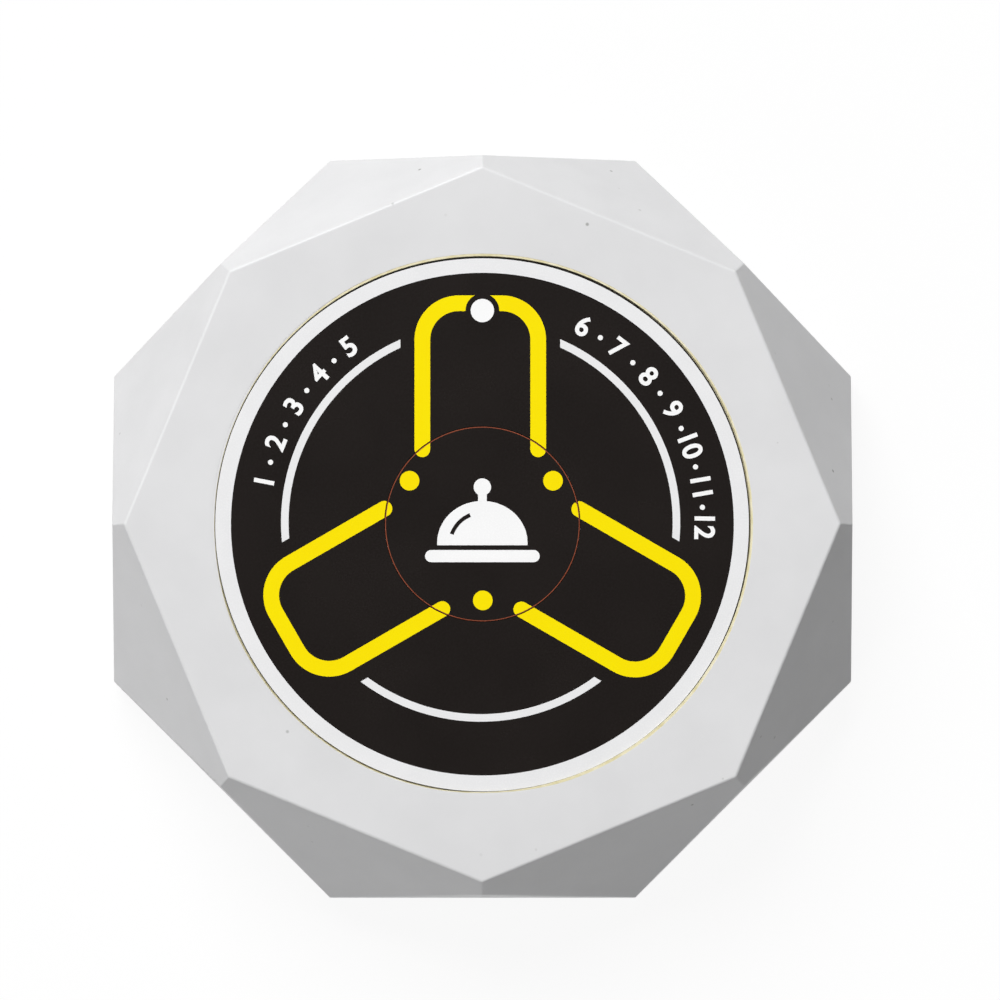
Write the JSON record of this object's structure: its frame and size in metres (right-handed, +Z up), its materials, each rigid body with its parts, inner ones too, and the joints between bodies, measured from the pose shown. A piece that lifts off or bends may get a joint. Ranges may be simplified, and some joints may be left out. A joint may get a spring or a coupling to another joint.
{
  "type": "waiter call button",
  "caption": "Eight-sided table-top call button with faceted corners, a round printed label, a sprung round key in its middle and a lamp, battery and radio board inside.",
  "frame": {"origin": "on the table, under the centre of the case, at the underside of the rubber feet", "axes": "+Z up through the key, +Y towards the lamp window, +X to the right of someone reading the label"},
  "size_m": [0.086, 0.086, 0.025],
  "materials": {
    "case_plastic": "white ABS, satin moulded",
    "key_plastic": "red-brown ABS, satin moulded",
    "label_print": "black printed polyester film, satin",
    "label_glue": "acrylic adhesive foam, cream",
    "silicone": "translucent grey silicone",
    "foot_rubber": "dark grey moulded rubber",
    "screw_steel": "zinc-plated steel",
    "spring_metal": "nickel-plated spring steel",
    "switch_plastic": "black moulded plastic",
    "board_laminate": "green glass-epoxy board with solder mask",
    "board_copper": "tinned copper under mask",
    "chip_plastic": "black epoxy",
    "resistor_body": "black glazed ceramic chip",
    "capacitor_body": "tan ceramic chip",
    "lens_plastic": "milky clear epoxy",
    "spacer_plastic": "white nylon",
    "battery_skin": "printed plastic sleeve on a metal can"
  },
  "bodies": {
    "case": {"top_cover": "case_plastic", "bottom_cover": "case_plastic", "case_seal": "silicone", "case_screws": "screw_steel", "rubber_feet": "foot_rubber", "label_adhesive": "label_glue", "label_film": "label_print", "key_membrane": "silicone", "switch_base": "switch_plastic", "switch_frame": "spring_metal", "switch_dome": "spring_metal", "switch_terminals": "spring_metal", "circuit_board": "board_laminate", "board_screws": "screw_steel", "encoder_chip": "chip_plastic", "encoder_leads": "spring_metal", "resonator_can": "spring_metal", "transistor": "chip_plastic", "chip_resistors": "resistor_body", "chip_capacitors": "capacitor_body", "antenna_track": "board_copper", "lamp_lens": "lens_plastic", "lamp_leads": "spring_metal", "lamp_spacer": "spacer_plastic", "battery_cell": "battery_skin", "battery_clip_positive": "spring_metal", "battery_clip_negative": "spring_metal"},
    "key": {"call_key": "key_plastic", "key_adhesive": "label_glue", "key_film": "label_print"},
    "plunger": {"switch_plunger": "switch_plastic"},
    "door": {"battery_door": "case_plastic"}
  },
  "joints": [
    {"name": "key_press", "type": "slide", "parent": "case", "child": "key", "axis": [0, 0, -1], "range_m": [0, 0.0003], "stiffness_N_per_m": 3000, "springref_m": -0.0002, "deforming": ["key_membrane"]},
    {"name": "plunger_press", "type": "slide", "parent": "case", "child": "plunger", "axis": [0, 0, -1], "range_m": [0, 0.0003], "deforming": ["switch_dome"]},
    {"name": "door_hinge", "type": "hinge", "parent": "case", "child": "door", "pos_m": [0, -0.009, 0.0008], "axis": [-1, 0, 0], "range_deg": [0, 45]}
  ],
  "couplings": [
    {"joint": "plunger_press", "follows": "key_press", "ratio": 1}
  ]
}
